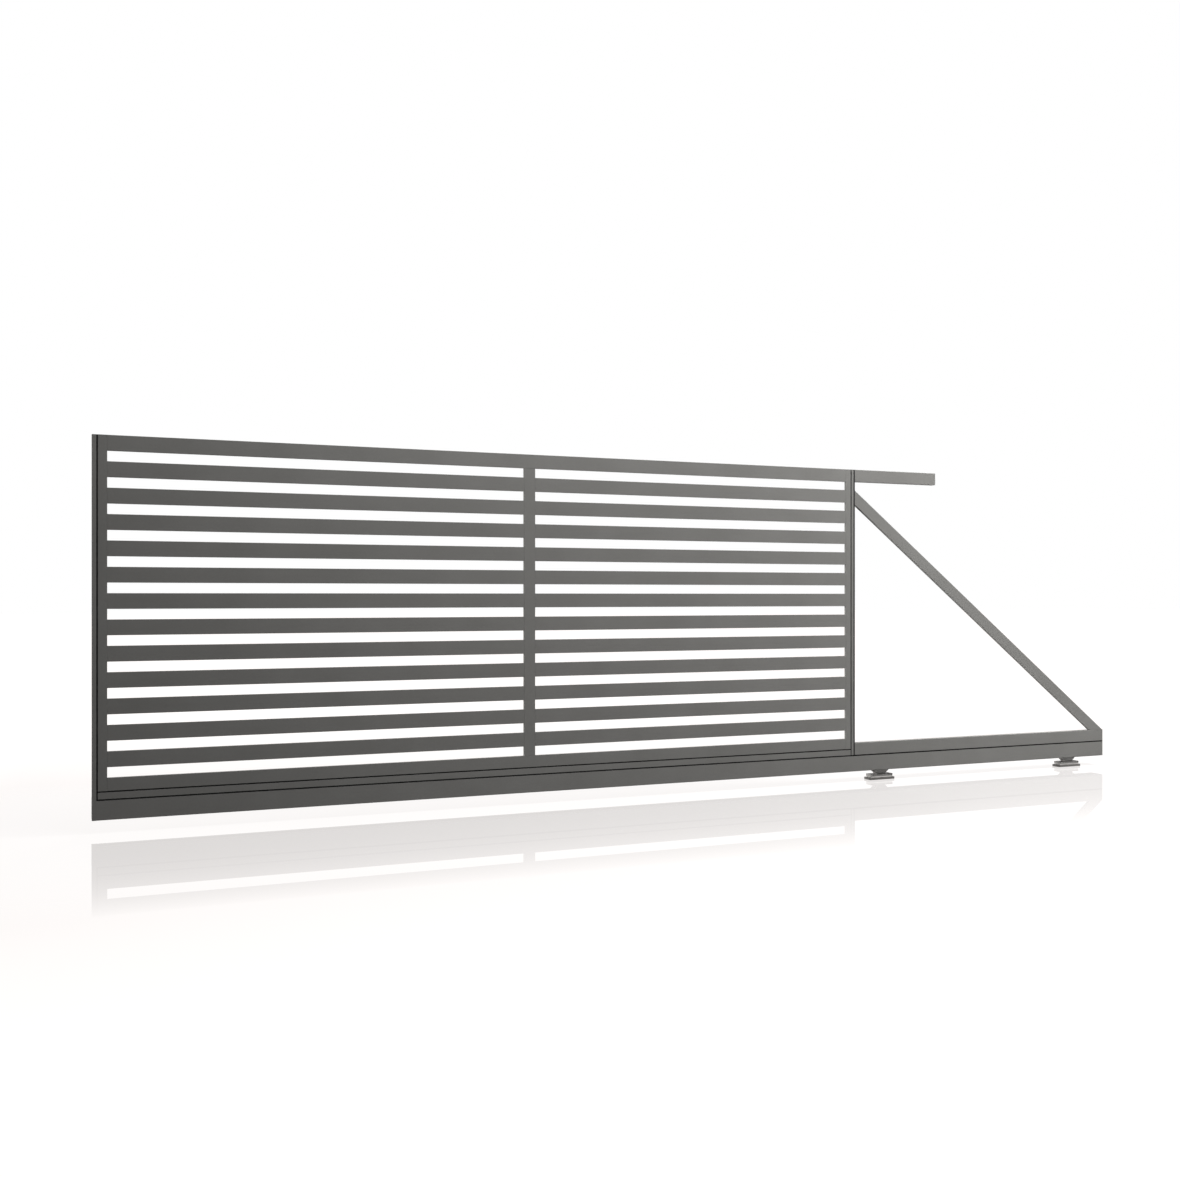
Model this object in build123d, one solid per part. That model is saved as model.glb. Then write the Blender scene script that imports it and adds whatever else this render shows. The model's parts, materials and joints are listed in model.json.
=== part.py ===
from build123d import *
import math
import os

# A cantilever sliding gate: an aluminium leaf of level slats with a triangular tail,
# running on two roller carriages that stand inside its hollow bottom rail.
# Millimetres. The origin is the middle of the underside of the front carriage's
# foundation plate. X runs from the leading edge to the tail, which is also the way
# the gate opens. Y runs away from the side that is looked at, and +Z is up.

# Bottom rail: a C-shaped extrusion, open below, with a rebate for the seam strip
rail_height = 80
rail_depth = 80
rail_wall = 4
rail_roof = 8
rail_lip = 4
rail_slot = 24
rail_corner_radius = 2
seam_height = 6
seam_depth = 6
seam_strip_recess = 1

# Seal grooves round the slatted panel
groove_width = 5
gasket_recess = 1.5

# Slatted panel
panel_depth = 12
slat_height = 60
slot_height = 40
slat_count = 12
top_bar_height = 60
bottom_bar_height = 50
leading_stile_width = 33.5
trailing_stile_width = 28
mullion_width = 51
first_bay_length = 1675.5
second_bay_length = 1595
slat_wall = 1.5
bar_wall = 2
edge_bevel = 0.8
end_plate = 3

# Frame behind and round the panel
leading_nose = 16
trailing_nose = 11
lower_nose = 25
frame_back_depth = 30
leading_back_width = 46
trailing_back_width = 23
lower_back_height = 70
frame_wall = 2.5
top_beam_height = 40
top_beam_drop = 10
joint_plate_thickness = 8

# Tail
tail_length = 1572
tail_top_length = 477
tail_beam_height = 58
tail_beam_depth = 30
tail_wall = 3
brace_width = 53
brace_depth = 16
brace_drop = 43
cap_thickness = 3
plug_length = 20
plug_wall = 3
plug_clearance = 0.2
front_cap_thickness = leading_nose

# Carriages
carriage_offset = 171
rear_carriage_inset = 211
foundation_length = 144
foundation_width = 54
foundation_thickness = 10
packer_length = 122
packer_width = 44
packer_thickness = 6
truck_plate_length = 128
truck_plate_width = 46
truck_plate_thickness = 10
plate_corner_cut = 3
anchor_spacing_x = 84
anchor_spacing_y = 28
anchor_hole_radius = 5.5
rail_above_truck_plate = 24
neck_clearance = 5
neck_bottom_width = 44
neck_top_width = 88
neck_depth = 28
web_width = 72
web_thickness = 14
web_bar_height = 30
web_bar_corner_cut = 8

# Wheels and axles
axle_count = 2
axle_pitch = 100
axle_radius = 8
axle_fit = 0.05
head_length = 2.5
head_radius = 11
wheel_width = 16
wheel_side_play = 0.3
wheel_top_gap = 0.3
wheel_bottom_gap = 5.7
wheel_edge_bevel = 2
wheel_hub_radius = 13
wheel_hub_length = 4

# Heights
truck_plate_bottom = foundation_thickness + packer_thickness
truck_plate_top = truck_plate_bottom + truck_plate_thickness
rail_bottom = truck_plate_top + rail_above_truck_plate
neck_top = rail_bottom - neck_clearance
rail_top = rail_bottom + rail_height
rail_inside_bottom = rail_bottom + rail_lip
rail_inside_top = rail_top - rail_roof
lower_nose_top = rail_top + lower_nose
panel_bottom = lower_nose_top + groove_width
first_slot_bottom = panel_bottom + bottom_bar_height
panel_opening = slat_count * slat_height + (slat_count + 1) * slot_height
top_bar_bottom = first_slot_bottom + panel_opening
leaf_top = top_bar_bottom + top_bar_height

# Depths: everything is flush at the front
front = -rail_depth / 2
panel_back = front + panel_depth
frame_back = panel_back + frame_back_depth

# Places along the gate, from the leading edge to the tail
leaf_length = (
    leading_nose
    + groove_width
    + leading_stile_width
    + first_bay_length
    + mullion_width
    + second_bay_length
    + trailing_stile_width
    + groove_width
    + trailing_nose
    + joint_plate_thickness
)
leading_edge = -leaf_length - carriage_offset
leading_groove = leading_edge + leading_nose
panel_start = leading_groove + groove_width
first_bay_start = panel_start + leading_stile_width
mullion_start = first_bay_start + first_bay_length
second_bay_start = mullion_start + mullion_width
right_stile_start = second_bay_start + second_bay_length
panel_end = right_stile_start + trailing_stile_width
trailing_nose_start = panel_end + groove_width
joint_plate_start = trailing_nose_start + trailing_nose
leaf_end = joint_plate_start + joint_plate_thickness
tail_end = leaf_end + tail_length
leading_back_end = leading_edge + leading_back_width
trailing_back_start = joint_plate_start - trailing_back_width
rail_start = leading_edge + front_cap_thickness
rail_end = tail_end - cap_thickness
rear_carriage = tail_end - rear_carriage_inset

# Wheels run just under the rail's roof
wheel_diameter = rail_inside_top - rail_inside_bottom - wheel_top_gap - wheel_bottom_gap
wheel_radius = wheel_diameter / 2
axle_height = rail_inside_top - wheel_top_gap - wheel_radius


def block(x_range, y_range, z_range):
    """A square-edged block between two places on each axis."""
    size = [high - low for low, high in (x_range, y_range, z_range)]
    middle = [(high + low) / 2 for low, high in (x_range, y_range, z_range)]
    return Pos(*middle) * Box(*size)


def bevelled(width, height, bevel):
    """A rectangle with its four corners cut off."""
    return chamfer(Rectangle(width, height).vertices(), bevel)


def level_tube(x_range, y_range, z_range, wall):
    """A rectangular tube that runs along X, open at both ends."""
    depth = y_range[1] - y_range[0]
    height = z_range[1] - z_range[0]
    outline = bevelled(depth, height, edge_bevel) - Rectangle(depth - 2 * wall, height - 2 * wall)
    middle = Pos(sum(y_range) / 2, sum(z_range) / 2)
    return extrude(Plane.YZ.offset(x_range[0]) * middle * outline, x_range[1] - x_range[0])


def upright_tube(x_range, y_range, z_range, wall, top_plate=0):
    """A rectangular tube that runs along Z, with a plate welded into its top."""
    width = x_range[1] - x_range[0]
    depth = y_range[1] - y_range[0]
    height = z_range[1] - z_range[0]
    middle = Pos(sum(x_range) / 2, sum(y_range) / 2)
    base = Plane.XY.offset(z_range[0])
    outside = extrude(base * middle * bevelled(width, depth, edge_bevel), height)
    inside = extrude(base * middle * Rectangle(width - 2 * wall, depth - 2 * wall), height - top_plate)
    return outside - inside


def hollow(outline, wall):
    """The outline with everything more than a wall's thickness inside it taken out."""
    return outline - offset(outline, amount=-wall, kind=Kind.INTERSECTION)


def plug(x_range, y_range, z_range):
    """The hollow spigot of an end cap, a little smaller than the bore that it fills."""
    y_fit = (y_range[0] + plug_clearance, y_range[1] - plug_clearance)
    z_fit = (z_range[0] + plug_clearance, z_range[1] - plug_clearance)
    outline = Rectangle(y_fit[1] - y_fit[0], z_fit[1] - z_fit[0])
    middle = Pos(sum(y_fit) / 2, sum(z_fit) / 2)
    length = x_range[1] - x_range[0]
    return extrude(Plane.YZ.offset(x_range[0]) * middle * hollow(outline, plug_wall), length)


def save(name, shapes):
    """Writes one node, which may be several solids that don't touch."""
    node = shapes[0] if len(shapes) == 1 else Compound(children=shapes)
    export_step(node, os.path.join("parts", name + ".step"))


def make_rail():
    """The C-shaped bottom rail, with the rebate along its front top edge."""
    outline = Rectangle(rail_depth, rail_height)
    outline = fillet(outline.vertices().group_by(Axis.Y)[0], rail_corner_radius)
    middle_height = (rail_bottom + rail_top) / 2
    inside_height = rail_inside_top - rail_inside_bottom
    inside_middle = (rail_inside_top + rail_inside_bottom) / 2 - middle_height
    outline -= Pos(0, inside_middle) * Rectangle(rail_depth - 2 * rail_wall, inside_height)
    outline -= Pos(0, (rail_lip - rail_height) / 2) * Rectangle(rail_slot, rail_lip)
    outline -= Pos((seam_depth - rail_depth) / 2, (rail_height - seam_height) / 2) * Rectangle(
        seam_depth, seam_height
    )
    return extrude(Plane.YZ.offset(rail_start) * Pos(0, middle_height) * outline, rail_end - rail_start)


def make_seam_strip():
    """The black strip between the rail and what stands on it."""
    return block(
        (rail_start, rail_end),
        (front + seam_strip_recess, front + seam_depth),
        (rail_top - seam_height, rail_top),
    )


def rail_cap(plate_range, plug_range):
    """An end cap: a plate as large as the rail's end and a spigot inside the rail."""
    plate = block(plate_range, (front, -front), (rail_bottom, rail_top))
    inside = rail_depth / 2 - rail_wall
    return plate + plug(plug_range, (-inside, inside), (rail_inside_bottom, rail_inside_top))


def make_leading_profile():
    """The closing edge: a nose in front and a wider chamber behind the panel."""
    outline = make_face(
        Polyline(
            (leading_edge, front),
            (leading_groove, front),
            (leading_groove, panel_back),
            (leading_back_end, panel_back),
            (leading_back_end, frame_back),
            (leading_edge, frame_back),
            close=True,
        )
    )
    return upright_profile(outline)


def make_trailing_profile():
    """The tail side's frame profile, a narrower mirror image of the leading one."""
    outline = make_face(
        Polyline(
            (joint_plate_start, front),
            (trailing_nose_start, front),
            (trailing_nose_start, panel_back),
            (trailing_back_start, panel_back),
            (trailing_back_start, frame_back),
            (joint_plate_start, frame_back),
            close=True,
        )
    )
    return upright_profile(outline)


def upright_profile(outline):
    """A hollow profile standing on the rail, closed by a plate at its top."""
    inner = offset(outline, amount=-frame_wall, kind=Kind.INTERSECTION)
    outside = extrude(Plane.XY.offset(rail_top) * outline, leaf_top - rail_top)
    return outside - extrude(Plane.XY.offset(rail_top) * inner, leaf_top - rail_top - end_plate)


def make_lower_profile():
    """The frame profile on the rail: a nose below the panel and a chamber behind it."""
    back_top = rail_top + lower_back_height
    outline = make_face(
        Polyline(
            (front, rail_top),
            (front, lower_nose_top),
            (panel_back, lower_nose_top),
            (panel_back, back_top),
            (frame_back, back_top),
            (frame_back, rail_top),
            close=True,
        )
    )
    profile = extrude(Plane.YZ.offset(panel_start) * hollow(outline, frame_wall), panel_end - panel_start)
    back = (panel_back, frame_back)
    heights = (rail_top, back_top)
    profile -= block((panel_start, leading_back_end), back, heights)
    return profile - block((trailing_back_start, panel_end), back, heights)


def make_top_beam():
    """The tube behind the panel's top bar."""
    top = leaf_top - top_beam_drop
    return level_tube(
        (leading_back_end, trailing_back_start),
        (panel_back, frame_back),
        (top - top_beam_height, top),
        frame_wall,
    )


def upright_gasket(x_start):
    """A seal in one of the two upright grooves."""
    return block(
        (x_start, x_start + groove_width),
        (front + gasket_recess, panel_back),
        (rail_top, leaf_top),
    )


def make_bottom_gasket():
    """The seal below the panel."""
    return block(
        (panel_start, panel_end),
        (front + gasket_recess, panel_back),
        (lower_nose_top, panel_bottom),
    )


def panel_stile(x_start, x_end):
    """One end of the panel, from under the bottom bar to the top of the leaf."""
    return upright_tube(
        (x_start, x_end),
        (front, panel_back),
        (panel_bottom, leaf_top),
        bar_wall,
        end_plate,
    )


def make_mullion():
    """The upright between the two bays."""
    return upright_tube(
        (mullion_start, second_bay_start),
        (front, panel_back),
        (first_slot_bottom, top_bar_bottom),
        bar_wall,
    )


def panel_bar(z_start, height):
    """The panel's top or bottom bar, between the stiles."""
    return level_tube(
        (first_bay_start, right_stile_start),
        (front, panel_back),
        (z_start, z_start + height),
        bar_wall,
    )


def slat_pair(number):
    """One level row: a slat in each bay, counted from the bottom."""
    bottom = first_slot_bottom + slot_height + (number - 1) * (slat_height + slot_height)
    heights = (bottom, bottom + slat_height)
    bays = ((first_bay_start, mullion_start), (second_bay_start, right_stile_start))
    return [level_tube(bay, (front, panel_back), heights, slat_wall) for bay in bays]


def make_joint_plate():
    """The dark plate between the leaf's frame and the tail."""
    return block((joint_plate_start, leaf_end), (front, frame_back), (rail_top, leaf_top))


tail_back = front + tail_beam_depth
top_beam_heights = (leaf_top - tail_beam_height, leaf_top)
bottom_beam_heights = (rail_top, rail_top + tail_beam_height)
tail_top_end = leaf_end + tail_top_length - cap_thickness


def beam_cap(x_start, heights):
    """A cap in the end of one of the tail's beams."""
    plate = block((x_start, x_start + cap_thickness), (front, tail_back), heights)
    bore_y = (front + tail_wall, tail_back - tail_wall)
    bore_z = (heights[0] + tail_wall, heights[1] - tail_wall)
    return plate + plug((x_start - plug_length, x_start), bore_y, bore_z)


def make_brace():
    """The sloping tube, cut upright at the joint plate and level on the bottom beam."""
    head = Vector(leaf_end, top_beam_heights[0] - brace_drop)
    foot = Vector(rail_end, bottom_beam_heights[1])
    slope = (foot.Y - head.Y) / (foot.X - head.X)
    upright_per_width = math.hypot(1, slope)

    def band(near, far):
        """The stretch of the brace between two distances from its upper edge."""
        near_drop = near * upright_per_width
        far_drop = far * upright_per_width
        return make_face(
            Polyline(
                (head.X, head.Y - near_drop),
                (foot.X + near_drop / slope, foot.Y),
                (foot.X + far_drop / slope, foot.Y),
                (head.X, head.Y - far_drop),
                close=True,
            )
        )

    outside = extrude(Plane.XZ.offset(-front) * band(0, brace_width), -brace_depth)
    bore = band(tail_wall, brace_width - tail_wall)
    inside_front = front + tail_wall
    return outside - extrude(Plane.XZ.offset(-inside_front) * bore, 2 * tail_wall - brace_depth)


def anchor_holes(x_middle):
    """The places of the four anchor bolts of a carriage."""
    half_x = anchor_spacing_x / 2
    half_y = anchor_spacing_y / 2
    return [(x_middle + i * half_x, j * half_y) for i in (-1, 1) for j in (-1, 1)]


def bolted_plate(x_middle, outline, z_start, thickness):
    """A plate of the given outline with the four anchor holes."""
    plate = Pos(x_middle, 0) * outline
    for x, y in anchor_holes(x_middle):
        plate -= Pos(x, y) * Circle(anchor_hole_radius)
    return extrude(Plane.XY.offset(z_start) * plate, thickness)


def make_foundation_plate(x_middle):
    """The plate that lies on the foundation."""
    outline = bevelled(foundation_length, foundation_width, plate_corner_cut)
    return bolted_plate(x_middle, outline, 0, foundation_thickness)


def make_packer_plate(x_middle):
    """The levelling packer between the foundation plate and the truck."""
    outline = Rectangle(packer_length, packer_width)
    return bolted_plate(x_middle, outline, foundation_thickness, packer_thickness)


def axle_places(x_middle):
    """Where the axles cross the middle of the truck."""
    return [x_middle + (i - (axle_count - 1) / 2) * axle_pitch for i in range(axle_count)]


def make_truck(x_middle):
    """A truck: the upper plate, a flared neck and the web that goes up through the rail's slot."""
    outline = bevelled(truck_plate_length, truck_plate_width, plate_corner_cut)
    plate = bolted_plate(x_middle, outline, truck_plate_bottom, truck_plate_thickness)

    neck = make_face(
        Polyline(
            (x_middle - neck_bottom_width / 2, truck_plate_top),
            (x_middle + neck_bottom_width / 2, truck_plate_top),
            (x_middle + neck_top_width / 2, neck_top),
            (x_middle - neck_top_width / 2, neck_top),
            close=True,
        )
    )

    web_height = axle_height - neck_top
    web = Pos(x_middle, neck_top + web_height / 2) * Rectangle(web_width, web_height)
    bar_length = (axle_count - 1) * axle_pitch + web_bar_height
    web += Pos(x_middle, axle_height) * bevelled(bar_length, web_bar_height, web_bar_corner_cut)
    for x in axle_places(x_middle):
        web -= Pos(x, axle_height) * Circle(axle_radius + axle_fit)

    upright = extrude(Plane.XZ * neck, neck_depth / 2, both=True)
    return plate + upright + extrude(Plane.XZ * web, web_thickness / 2, both=True)


wheel_inner_face = web_thickness / 2 + wheel_side_play + wheel_hub_length
wheel_outer_face = wheel_inner_face + wheel_width


def turned(outline, x_middle):
    """A solid turned about an axle, from an outline of distance out and place along it."""
    return Pos(x_middle, 0, axle_height) * revolve(make_face(Polyline(*outline, close=True)), Axis.Y)


def make_axle(x_middle):
    """An axle through the web, with a head outside each of its two wheels."""
    head_start = wheel_outer_face + wheel_side_play
    head_end = head_start + head_length
    half = [
        (axle_radius, head_start),
        (head_radius, head_start),
        (head_radius, head_end),
        (0, head_end),
    ]
    other_half = [(radius, -place) for radius, place in reversed(half)]
    return turned(half + other_half, x_middle)


def make_wheel(x_middle, side):
    """A moulded roller with a bevelled tread and a hub that reaches to the web."""
    bore = axle_radius + axle_fit
    outline = [
        (bore, wheel_inner_face - wheel_hub_length),
        (wheel_hub_radius, wheel_inner_face - wheel_hub_length),
        (wheel_hub_radius, wheel_inner_face),
        (wheel_radius - wheel_edge_bevel, wheel_inner_face),
        (wheel_radius, wheel_inner_face + wheel_edge_bevel),
        (wheel_radius, wheel_outer_face - wheel_edge_bevel),
        (wheel_radius - wheel_edge_bevel, wheel_outer_face),
        (bore, wheel_outer_face),
    ]
    return turned([(radius, side * place) for radius, place in outline], x_middle)


os.makedirs("parts", exist_ok=True)

save("cantilever_rail", [make_rail()])
save("rail_seam_strip", [make_seam_strip()])
save("rail_front_cap", [rail_cap((leading_edge, rail_start), (rail_start, rail_start + plug_length))])
save("rail_tail_cap", [rail_cap((rail_end, tail_end), (rail_end - plug_length, rail_end))])
save("leading_profile", [make_leading_profile()])
save("trailing_profile", [make_trailing_profile()])
save("lower_profile", [make_lower_profile()])
save("frame_top_beam", [make_top_beam()])
save("leading_gasket", [upright_gasket(leading_groove)])
save("trailing_gasket", [upright_gasket(panel_end)])
save("bottom_gasket", [make_bottom_gasket()])
save("left_stile", [panel_stile(panel_start, first_bay_start)])
save("right_stile", [panel_stile(right_stile_start, panel_end)])
save("mullion", [make_mullion()])
save("bottom_bar", [panel_bar(panel_bottom, bottom_bar_height)])
save("top_bar", [panel_bar(top_bar_bottom, top_bar_height)])
for number in range(1, slat_count + 1):
    save(f"slat_{number:02d}", slat_pair(number))
save("tail_joint_plate", [make_joint_plate()])

for name, end, heights in (
    ("tail_top_beam", tail_top_end, top_beam_heights),
    ("tail_bottom_beam", rail_end, bottom_beam_heights),
):
    save(name, [level_tube((leaf_end, end), (front, tail_back), heights, tail_wall)])
save(
    "tail_beam_caps",
    [beam_cap(tail_top_end, top_beam_heights), beam_cap(rail_end, bottom_beam_heights)],
)
save("tail_brace", [make_brace()])

carriages = {"front": 0, "rear": rear_carriage}
for place, x_middle in carriages.items():
    save(place + "_foundation_plate", [make_foundation_plate(x_middle)])
    save(place + "_packer_plate", [make_packer_plate(x_middle)])
    save(place + "_truck", [make_truck(x_middle)])
all_axles = [x for x_middle in carriages.values() for x in axle_places(x_middle)]
save("carriage_axles", [make_axle(x) for x in all_axles])
save("carriage_wheels", [make_wheel(x, side) for x in all_axles for side in (-1, 1)])
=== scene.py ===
import json
import math

import bmesh
import bpy
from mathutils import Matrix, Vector


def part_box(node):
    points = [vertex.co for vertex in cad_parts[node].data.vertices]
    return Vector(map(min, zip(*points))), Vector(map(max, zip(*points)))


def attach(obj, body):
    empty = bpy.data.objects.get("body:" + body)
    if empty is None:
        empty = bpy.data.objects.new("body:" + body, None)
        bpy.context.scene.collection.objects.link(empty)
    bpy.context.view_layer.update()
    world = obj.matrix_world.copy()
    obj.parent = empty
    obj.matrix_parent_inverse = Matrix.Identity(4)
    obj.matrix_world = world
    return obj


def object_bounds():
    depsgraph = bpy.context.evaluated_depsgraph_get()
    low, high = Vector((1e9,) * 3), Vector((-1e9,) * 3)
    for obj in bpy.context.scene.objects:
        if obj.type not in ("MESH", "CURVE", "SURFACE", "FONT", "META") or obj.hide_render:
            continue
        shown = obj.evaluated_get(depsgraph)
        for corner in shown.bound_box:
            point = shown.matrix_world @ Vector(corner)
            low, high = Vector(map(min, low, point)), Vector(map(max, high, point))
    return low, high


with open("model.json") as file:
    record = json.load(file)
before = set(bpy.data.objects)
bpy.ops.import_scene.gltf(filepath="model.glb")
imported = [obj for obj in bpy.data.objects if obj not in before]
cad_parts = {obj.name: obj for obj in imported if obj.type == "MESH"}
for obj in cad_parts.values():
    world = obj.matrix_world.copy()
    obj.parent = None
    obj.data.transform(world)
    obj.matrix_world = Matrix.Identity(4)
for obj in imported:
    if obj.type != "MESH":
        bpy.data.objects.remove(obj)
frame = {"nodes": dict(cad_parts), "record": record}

# Dresses the sliding gate: powder-coated aluminium leaf and tail, black seals whose
# near-black colour is painted shade in the shadow gaps and seams, and two welded steel
# carriages. Adds the weld beads of the tail and of the carriages' necks, and the bolts of
# the joint plate. Metres, in the frame of the CAD model: X from the leading edge to the
# tail, Y away from the flush front side, Z up from the foundation.

cad_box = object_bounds()
nodes = frame["nodes"]
record = frame["record"]

gate_middle_x = (cad_box[0][0] + cad_box[1][0]) / 2

# Noise keeps near a half, mostly between these two values
noise_low = 0.3
noise_high = 0.7

# Shares of the broad mottle and of the fine grain in a coat's colour
mottle_share = 0.6
grain_share = 0.4

# Sockets of the mixing node when it mixes two colours
mix_dark = 6
mix_light = 7
mix_result = 2


class Nodes:
    """Adds shader nodes to a material or world and links them in the order they are written."""

    def __init__(self, tree):
        self.tree = tree
        tree.nodes.clear()

    def add(self, kind, inputs=None, **settings):
        node = self.tree.nodes.new(kind)
        for name, value in settings.items():
            setattr(node, name, value)
        for name, value in (inputs or {}).items():
            if isinstance(value, bpy.types.NodeSocket):
                self.tree.links.new(value, node.inputs[name])
            else:
                node.inputs[name].default_value = value
        return node

    def maths(self, operation, first, second=0.0):
        return self.add("ShaderNodeMath", {0: first, 1: second}, operation=operation).outputs[0]

    def between(self, factor, dark, light):
        """A colour between two, by a factor from 0 to 1."""
        mix = self.add("ShaderNodeMix", {"Factor": factor}, data_type="RGBA")
        mix.inputs[mix_dark].default_value = (*dark, 1)
        mix.inputs[mix_light].default_value = (*light, 1)
        return mix.outputs[mix_result]

    def stretch(self, value, low, high):
        """A noise value spread out between two numbers."""
        limits = {"From Min": noise_low, "From Max": noise_high, "To Min": low, "To Max": high}
        return self.add("ShaderNodeMapRange", {"Value": value, **limits}).outputs["Result"]

    def noise(self, where, scale, detail):
        inputs = {"Vector": where, "Scale": scale, "Detail": detail}
        return self.add("ShaderNodeTexNoise", inputs).outputs["Fac"]

    def diffuse(self, grey):
        return self.add("ShaderNodeBsdfDiffuse", {"Color": (grey, grey, grey, 1)}).outputs[0]

    def seen_ray(self):
        """1 for a ray that is seen, straight or in a gloss, and 0 for one that only lights."""
        path = self.add("ShaderNodeLightPath").outputs
        mirror_ray = self.maths("MAXIMUM", path["Is Glossy Ray"], path["Is Transmission Ray"])
        return self.maths("MAXIMUM", path["Is Camera Ray"], mirror_ray)


def coated(name, dark, light, mottle_scale, grain_scale, peel_scale, peel_height, gloss, shader):
    """A coated or moulded surface: mottled and grained colour, uneven gloss and a fine relief.

    Colours are linear red, green and blue. gloss holds the lowest and highest roughness, and
    shader the values that are the same all over, for the shader's own sockets.
    """
    material = bpy.data.materials.new(name)
    material.use_nodes = True
    n = Nodes(material.node_tree)
    place = n.add("ShaderNodeTexCoord").outputs["Object"]
    mottle = n.noise(place, mottle_scale, detail=3.0)
    grain = n.noise(place, grain_scale, detail=2.0)
    mottle_part = n.maths("MULTIPLY", mottle, mottle_share)
    grain_part = n.maths("MULTIPLY", grain, grain_share)
    blend = n.maths("ADD", mottle_part, grain_part)
    surface_inputs = {
        "Base Color": n.between(n.stretch(blend, 0.0, 1.0), dark, light),
        "Roughness": n.stretch(grain, *gloss),
    }
    peel = n.noise(place, peel_scale, detail=1.0)
    relief = n.add("ShaderNodeBump", {"Strength": 1.0, "Distance": peel_height, "Height": peel})
    surface_inputs["Normal"] = relief.outputs["Normal"]
    surface = n.add("ShaderNodeBsdfPrincipled", {**surface_inputs, **shader})
    n.add("ShaderNodeOutputMaterial", {"Surface": surface.outputs["BSDF"]})
    return material


finishes = {
    "grey_powder_coat": {
        "dark": (0.108, 0.106, 0.101),
        "light": (0.124, 0.122, 0.117),
        "mottle_scale": 5.0,
        "grain_scale": 240.0,
        "peel_scale": 900.0,
        "peel_height": 0.000012,
        "gloss": (0.5, 0.6),
        "shader": {"Specular IOR Level": 0.08},
    },
    "grey_cap_plastic": {
        "dark": (0.108, 0.106, 0.102),
        "light": (0.118, 0.116, 0.112),
        "mottle_scale": 14.0,
        "grain_scale": 500.0,
        "peel_scale": 1800.0,
        "peel_height": 0.000008,
        "gloss": (0.42, 0.5),
        "shader": {"Specular IOR Level": 0.35},
    },
    # Painted shade: the seals fill the shadow gaps and seams, and are near-black with little
    # gloss, so they stand in for the deep shade of a narrow groove
    "black_rubber": {
        "dark": (0.004, 0.004, 0.004),
        "light": (0.009, 0.009, 0.009),
        "mottle_scale": 20.0,
        "grain_scale": 700.0,
        "peel_scale": 2200.0,
        "peel_height": 0.00002,
        "gloss": (0.75, 0.9),
        "shader": {"Specular IOR Level": 0.05},
    },
    # Painted shade: the joint plate between leaf and tail is near-black, so its edge shows as the
    # dark shadow line at the tail joint
    "dark_anodised": {
        "dark": (0.008, 0.008, 0.008),
        "light": (0.016, 0.015, 0.015),
        "mottle_scale": 30.0,
        "grain_scale": 900.0,
        "peel_scale": 3000.0,
        "peel_height": 0.000004,
        "gloss": (0.35, 0.45),
        "shader": {"Specular IOR Level": 0.2},
    },
    "dark_steel": {
        "dark": (0.08, 0.075, 0.071),
        "light": (0.115, 0.109, 0.104),
        "mottle_scale": 25.0,
        "grain_scale": 300.0,
        "peel_scale": 700.0,
        "peel_height": 0.00003,
        "gloss": (0.5, 0.7),
        "shader": {"Specular IOR Level": 0.3},
    },
    "bright_zinc": {
        "dark": (0.42, 0.41, 0.4),
        "light": (0.62, 0.61, 0.59),
        "mottle_scale": 60.0,
        "grain_scale": 400.0,
        "peel_scale": 500.0,
        "peel_height": 0.00002,
        "gloss": (0.35, 0.5),
        "shader": {"Metallic": 0.8},
    },
    "grey_painted_steel": {
        "dark": (0.25, 0.24, 0.232),
        "light": (0.295, 0.284, 0.275),
        "mottle_scale": 30.0,
        "grain_scale": 300.0,
        "peel_scale": 600.0,
        "peel_height": 0.00003,
        "gloss": (0.4, 0.55),
        "shader": {"Specular IOR Level": 0.35},
    },
    "bright_steel": {
        "dark": (0.4, 0.4, 0.4),
        "light": (0.6, 0.6, 0.6),
        "mottle_scale": 80.0,
        "grain_scale": 900.0,
        "peel_scale": 2500.0,
        "peel_height": 0.00001,
        "gloss": (0.25, 0.35),
        "shader": {"Metallic": 1.0},
    },
    "wheel_nylon": {
        "dark": (0.012, 0.012, 0.012),
        "light": (0.02, 0.02, 0.02),
        "mottle_scale": 40.0,
        "grain_scale": 500.0,
        "peel_scale": 1500.0,
        "peel_height": 0.00001,
        "gloss": (0.4, 0.5),
        "shader": {"Specular IOR Level": 0.4},
    },
}
materials = {slot: coated(slot, **finish) for slot, finish in finishes.items()}

for part in record["subparts"]:
    node = nodes[part["node"]]
    node.data.materials.clear()
    node.data.materials.append(materials[part["material_slot"]])


# Floor: the mirror image reaches this far from the gate, and the glow grows beyond it
mirror_half_length = 2.8
mirror_reach = 1.36
mirror_fade = 3.5
mirror_strength = 0.3
mirror_roughness = 0.004
near_glow = 0.87
far_glow = 1.05
glow_end = 4.0
glow_colour = (1.035, 1.0, 0.985)
floor_grey = 0.06
bounce_grey = 0.2
floor_size = 60.0
floor_drop = 0.0005


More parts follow.
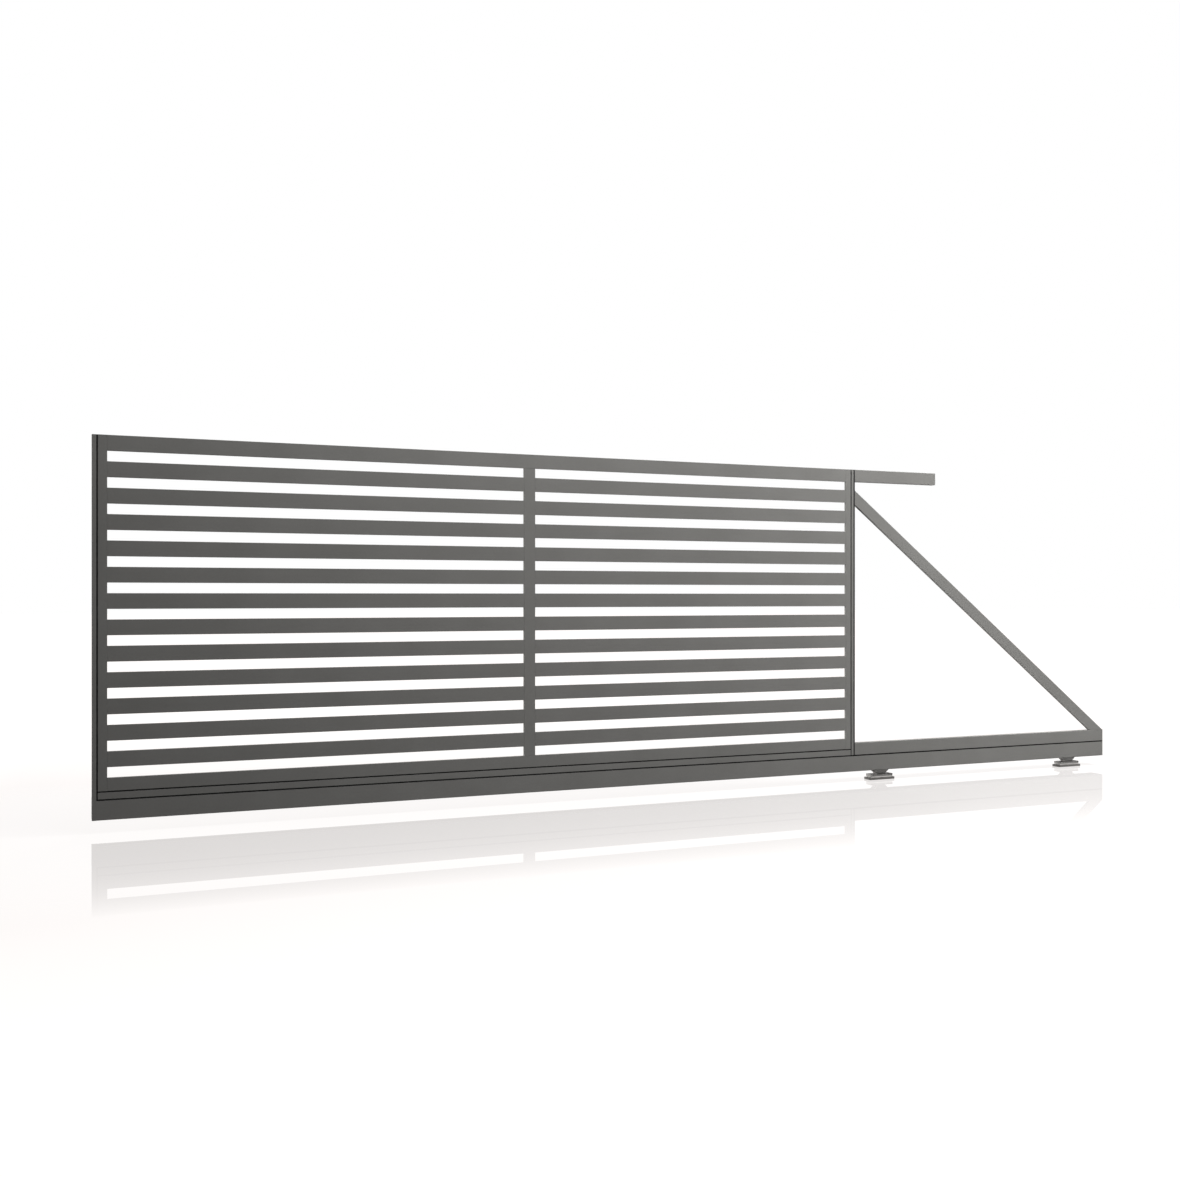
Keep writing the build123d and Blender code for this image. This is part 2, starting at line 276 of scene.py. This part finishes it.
def floor_material():
    """A pale floor that keeps the shadow and mirrors the gate faintly in front of it.

    The mirror image is strongest along the gate and dies out towards the viewer, and the
    floor glows enough away from the gate to run into the white behind it.
    """
    material = bpy.data.materials.new("studio_floor")
    material.use_nodes = True
    n = Nodes(material.node_tree)
    place = n.add("ShaderNodeTexCoord").outputs["Object"]
    apart = n.add("ShaderNodeSeparateXYZ", {"Vector": place})
    from_middle = n.maths("ABSOLUTE", n.maths("SUBTRACT", apart.outputs["X"], gate_middle_x))
    past_the_end = n.maths("MAXIMUM", n.maths("SUBTRACT", from_middle, mirror_half_length), 0.0)
    away = n.maths("ADD", n.maths("ABSOLUTE", apart.outputs["Y"]), past_the_end)
    share = n.maths("MINIMUM", n.maths("DIVIDE", away, mirror_reach), 1.0)
    fade = n.maths("POWER", share, mirror_fade)
    mirror = n.maths("MULTIPLY", n.maths("SUBTRACT", 1.0, fade), mirror_strength)
    shaded = n.diffuse(floor_grey)
    glow_range = {
        "Value": away,
        "From Min": mirror_reach,
        "From Max": glow_end,
        "To Min": near_glow,
        "To Max": far_glow,
    }
    strength = n.add("ShaderNodeMapRange", glow_range).outputs["Result"]
    glow_inputs = {"Color": (*glow_colour, 1), "Strength": strength}
    glow = n.add("ShaderNodeEmission", glow_inputs).outputs[0]
    plain = n.add("ShaderNodeAddShader", {0: shaded, 1: glow}).outputs[0]
    gloss_inputs = {"Color": (1, 1, 1, 1), "Roughness": mirror_roughness}
    gloss = n.add("ShaderNodeBsdfGlossy", gloss_inputs).outputs[0]
    seen = n.add("ShaderNodeMixShader", {0: mirror, 1: plain, 2: gloss}).outputs[0]
    bounce = n.diffuse(bounce_grey)
    both = n.add("ShaderNodeMixShader", {0: n.seen_ray(), 1: bounce, 2: seen}).outputs[0]
    n.add("ShaderNodeOutputMaterial", {"Surface": both})
    return material


def mesh_object(name, build, material):
    """An object whose mesh is built by a function that is given an empty bmesh."""
    mesh = bpy.data.meshes.new(name)
    shape = bmesh.new()
    build(shape)
    bmesh.ops.recalc_face_normals(shape, faces=shape.faces)
    shape.to_mesh(mesh)
    shape.free()
    mesh.materials.append(material)
    piece = bpy.data.objects.new(name, mesh)
    bpy.context.scene.collection.objects.link(piece)
    return piece


def build_floor(shape):
    bmesh.ops.create_grid(shape, x_segments=2, y_segments=2, size=floor_size)
    bmesh.ops.translate(shape, vec=Vector((gate_middle_x, 0, -floor_drop)), verts=shape.verts)


studio_floor = mesh_object("studio_floor", build_floor, floor_material())


def skin_rings(shape, rings):
    """Closes rings of vertices into a solid: faces between the rings, and one at each end."""
    sides = []
    for near, far in zip(rings, rings[1:]):
        for index in range(len(near)):
            following = (index + 1) % len(near)
            corners = (near[index], near[following], far[following], far[index])
            sides.append(shape.faces.new(corners))
    shape.faces.new(rings[0])
    shape.faces.new(rings[-1])
    return sides


# Weld beads: round, sunk into the corner by a share of their radius, with ripples along them
bead_radius = 0.0028
bead_sink = 0.35
fewest_ripples = 2
ripple_length = 0.0036
ripple_height = 0.16
rings_per_ripple = 5
ring_points = 10
end_taper_share = 1 / 6
end_radius_share = 0.55


def add_bead(shape, start, end, corner):
    """A rippled bead from one point to another, bulging towards the open side of a corner.

    Each ripple swells along its length and drops back where the next one starts.
    """
    start = Vector(start)
    along = Vector(end) - start
    bulge = Vector(corner).normalized()
    across = along.normalized().cross(bulge)
    ripples = max(fewest_ripples, round(along.length / ripple_length))
    ring_count = ripples * rings_per_ripple + 1
    rings = []
    for index in range(ring_count):
        share = index / (ring_count - 1)
        phase = (index % rings_per_ripple) / rings_per_ripple
        swell = 1 + ripple_height * (phase * (2 - phase) - 0.5)
        taper = min(1.0, share / end_taper_share, (1 - share) / end_taper_share)
        end_shape = end_radius_share + (1 - end_radius_share) * math.sqrt(taper)
        radius = bead_radius * swell * end_shape
        middle = start + along * share - bulge * bead_radius * bead_sink
        ring = []
        for point in range(ring_points):
            angle = 2 * math.pi * point / ring_points
            offset = bulge * math.cos(angle) + across * math.sin(angle)
            ring.append(shape.verts.new(middle + offset * radius))
        rings.append(ring)
    for face in skin_rings(shape, rings):
        face.smooth = True


def weld(name, beads, body, slot):
    """A set of beads as one piece that rides on a body, in the finish of a slot."""

    def build(shape):
        for start, end, corner in beads:
            add_bead(shape, start, end, corner)

    piece = mesh_object(name, build, materials[slot])
    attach(piece, body)


# The neck of each truck is welded all round its foot, and leans outwards over the plate
neck_half_width = 0.022
neck_half_depth = 0.014
side_bead_rise = 0.4
truck_plate_thickness = 0.01
truck_plate_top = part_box("front_packer_plate")[1][2] + truck_plate_thickness


def neck_bead(start, end, corner):
    """A bead between two places on the truck's plate, each given by its X and Y."""
    return (*start, truck_plate_top), (*end, truck_plate_top), corner


for place in ("front", "rear"):
    truck_low, truck_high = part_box(place + "_truck")
    neck_x = (truck_low[0] + truck_high[0]) / 2
    left, right = neck_x - neck_half_width, neck_x + neck_half_width
    front, back = -neck_half_depth, neck_half_depth
    neck_beads = [
        neck_bead((left, front), (right, front), (0, -1, 1)),
        neck_bead((left, back), (right, back), (0, 1, 1)),
        neck_bead((left, front), (left, back), (-1, 0, side_bead_rise)),
        neck_bead((right, front), (right, back), (1, 0, side_bead_rise)),
    ]
    weld(place + "_neck_weld", neck_beads, "carriages", "grey_painted_steel")


# The tail is welded at its back and inside, so the flush front shows no bead
joint_low, joint_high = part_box("tail_joint_plate")
top_beam_low, top_beam_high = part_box("tail_top_beam")
bottom_beam_low, bottom_beam_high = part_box("tail_bottom_beam")
brace_low, brace_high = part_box("tail_brace")
plate_face = joint_high[0]
brace_head_height = 0.067
brace_foot_length = 0.086
bead_inset = 0.002
bead_front = -0.03
foot_left = brace_high[0] - brace_foot_length


def upright_bead(back, bottom, top):
    """A bead up the joint plate, along the back edge of a beam that ends there."""
    return (plate_face, back, bottom + bead_inset), (plate_face, back, top - bead_inset), (1, 1, 0)


def cross_bead(back, height, side):
    """A bead across the joint plate, over or under a beam: side is 1 for over, -1 for under."""
    return (plate_face, bead_front, height), (plate_face, back, height), (1, 0, side)


foot_bead = (
    (foot_left + bead_inset, brace_high[1], brace_low[2]),
    (brace_high[0] - bead_inset, brace_high[1], brace_low[2]),
    (0, 1, 1),
)
tail_beads = [
    upright_bead(top_beam_high[1], top_beam_low[2], top_beam_high[2]),
    cross_bead(top_beam_high[1], top_beam_low[2], -1),
    upright_bead(bottom_beam_high[1], bottom_beam_low[2], bottom_beam_high[2]),
    cross_bead(bottom_beam_high[1], bottom_beam_high[2], 1),
    upright_bead(brace_high[1], brace_high[2] - brace_head_height, brace_high[2]),
    foot_bead,
]
weld("tail_weld", tail_beads, "leaf", "grey_powder_coat")


# Hexagon bolts with washers hold the joint plate to the leaf, on the side that faces the tail
bolt_heights = (0.3, 0.62, 0.94, 1.26)
washer_radius = 0.0085
washer_thickness = 0.0016
washer_chamfer = 0.0003
washer_edge_share = 0.8
head_half_flats = 0.0065
head_thickness = 0.0053
head_chamfer = 0.0006
round_points = 36
hexagon_sector = math.pi / 3


def add_stack(shape, middle, stack):
    """A solid of rings stacked along X: each ring is its distance out and its radii."""
    rings = []
    for out, radii in stack:
        ring = []
        for index, radius in enumerate(radii):
            angle = 2 * math.pi * index / len(radii)
            x = middle[0] + out
            y = middle[1] + radius * math.cos(angle)
            z = middle[2] + radius * math.sin(angle)
            ring.append(shape.verts.new((x, y, z)))
        rings.append(ring)
    skin_rings(shape, rings)


def hexagon_radii(half_flats, limit):
    """The reach of a hexagon at even angles, cut back to a limit as a turned chamfer cuts it."""
    radii = []
    for index in range(round_points):
        angle = 2 * math.pi * index / round_points
        from_flat = angle % hexagon_sector - hexagon_sector / 2
        radii.append(min(half_flats / math.cos(from_flat), limit))
    return radii


def build_bolts(shape):
    middle_y = (joint_low[1] + joint_high[1]) / 2
    corner_reach = head_half_flats / math.cos(hexagon_sector / 2)
    washer = [washer_radius] * round_points
    washer_top = [washer_radius - washer_chamfer] * round_points
    hexagon = hexagon_radii(head_half_flats, corner_reach)
    chamfered = hexagon_radii(head_half_flats, head_half_flats)
    head_top = washer_thickness + head_thickness
    washer_stack = [
        (0.0, washer),
        (washer_thickness * washer_edge_share, washer),
        (washer_thickness, washer_top),
    ]
    head_stack = [
        (washer_thickness, hexagon),
        (head_top - head_chamfer, hexagon),
        (head_top, chamfered),
    ]
    for height in bolt_heights:
        middle = (plate_face, middle_y, height)
        add_stack(shape, middle, washer_stack)
        add_stack(shape, middle, head_stack)


joint_bolts = mesh_object("joint_bolts", build_bolts, materials["bright_zinc"])
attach(joint_bolts, "leaf")


def soft_light(name, place, target, size, power):
    """A square soft light that faces a point."""
    light = bpy.data.lights.new(name, "AREA")
    light.shape = "SQUARE"
    light.size = size
    light.energy = power
    lamp = bpy.data.objects.new(name, light)
    lamp.location = place
    lamp.rotation_euler = (Vector(target) - Vector(place)).to_track_quat("-Z", "Y").to_euler()
    lamp.visible_camera = False
    lamp.visible_glossy = False
    bpy.context.scene.collection.objects.link(lamp)
    return lamp


# The light comes mostly from above the tail, and falls off towards the leading edge
soft_light("key_light", (2.5, -1.2, 3.5), (-0.5, 0.0, 0.8), size=1.5, power=600.0)
soft_light("top_light", (-2.0, -1.2, 4.0), (-1.5, 0.0, 0.8), size=2.0, power=160.0)
soft_light("low_light", (3.5, -5.0, 0.9), (-0.5, 0.0, 0.5), size=1.6, power=25.0)
soft_light("side_light", (-16.0, 2.2, 2.2), (-0.5, 0.0, 0.8), size=4.0, power=3000.0)
soft_light("back_light", (0.0, 5.0, 5.0), (-1.0, 0.0, 0.8), size=3.0, power=250.0)
under_light = soft_light("under_light", (-2.0, 1.2, 0.15), (0.6, 0.0, 0.8), size=1.0, power=60.0)

# The low lamp behind would draw a sharp edge on the floor, so it lights everything else
off_the_floor = bpy.data.collections.new("off_the_floor")
off_the_floor.objects.link(studio_floor)
off_the_floor.collection_objects[0].light_linking.link_state = "EXCLUDE"
under_light.light_linking.receiver_collection = off_the_floor

# The surroundings light as a weak grey, though they are seen as white
sky_strength = 0.06


def make_sky():
    """White behind the object and in its gloss, and a plain grey light on its surfaces."""
    world = bpy.data.worlds.new("studio_sky")
    world.use_nodes = True
    bpy.context.scene.world = world
    n = Nodes(world.node_tree)
    strength_range = {"Value": n.seen_ray(), "To Min": sky_strength, "To Max": 1.0}
    strength = n.add("ShaderNodeMapRange", strength_range).outputs["Result"]
    light = n.add("ShaderNodeBackground", {"Color": (1, 1, 1, 1), "Strength": strength})
    n.add("ShaderNodeOutputWorld", {"Surface": light.outputs["Background"]})


make_sky()

# Camera, as the photograph was taken: level, and turned by these degrees from square on
camera_place = (-3.6787, -5.0845, 0.8993)
camera_level = 90
camera_turn = 22.77
camera_data = bpy.data.cameras.new("camera")
camera_data.lens = 37.88
camera_data.sensor_width = 36.0
camera_data.shift_y = 0.0063
camera = bpy.data.objects.new("camera", camera_data)
camera.location = camera_place
camera.rotation_euler = (math.radians(camera_level), 0, math.radians(-camera_turn))
bpy.context.scene.collection.objects.link(camera)
bpy.context.scene.camera = camera
bpy.context.scene.view_settings.view_transform = "Standard"
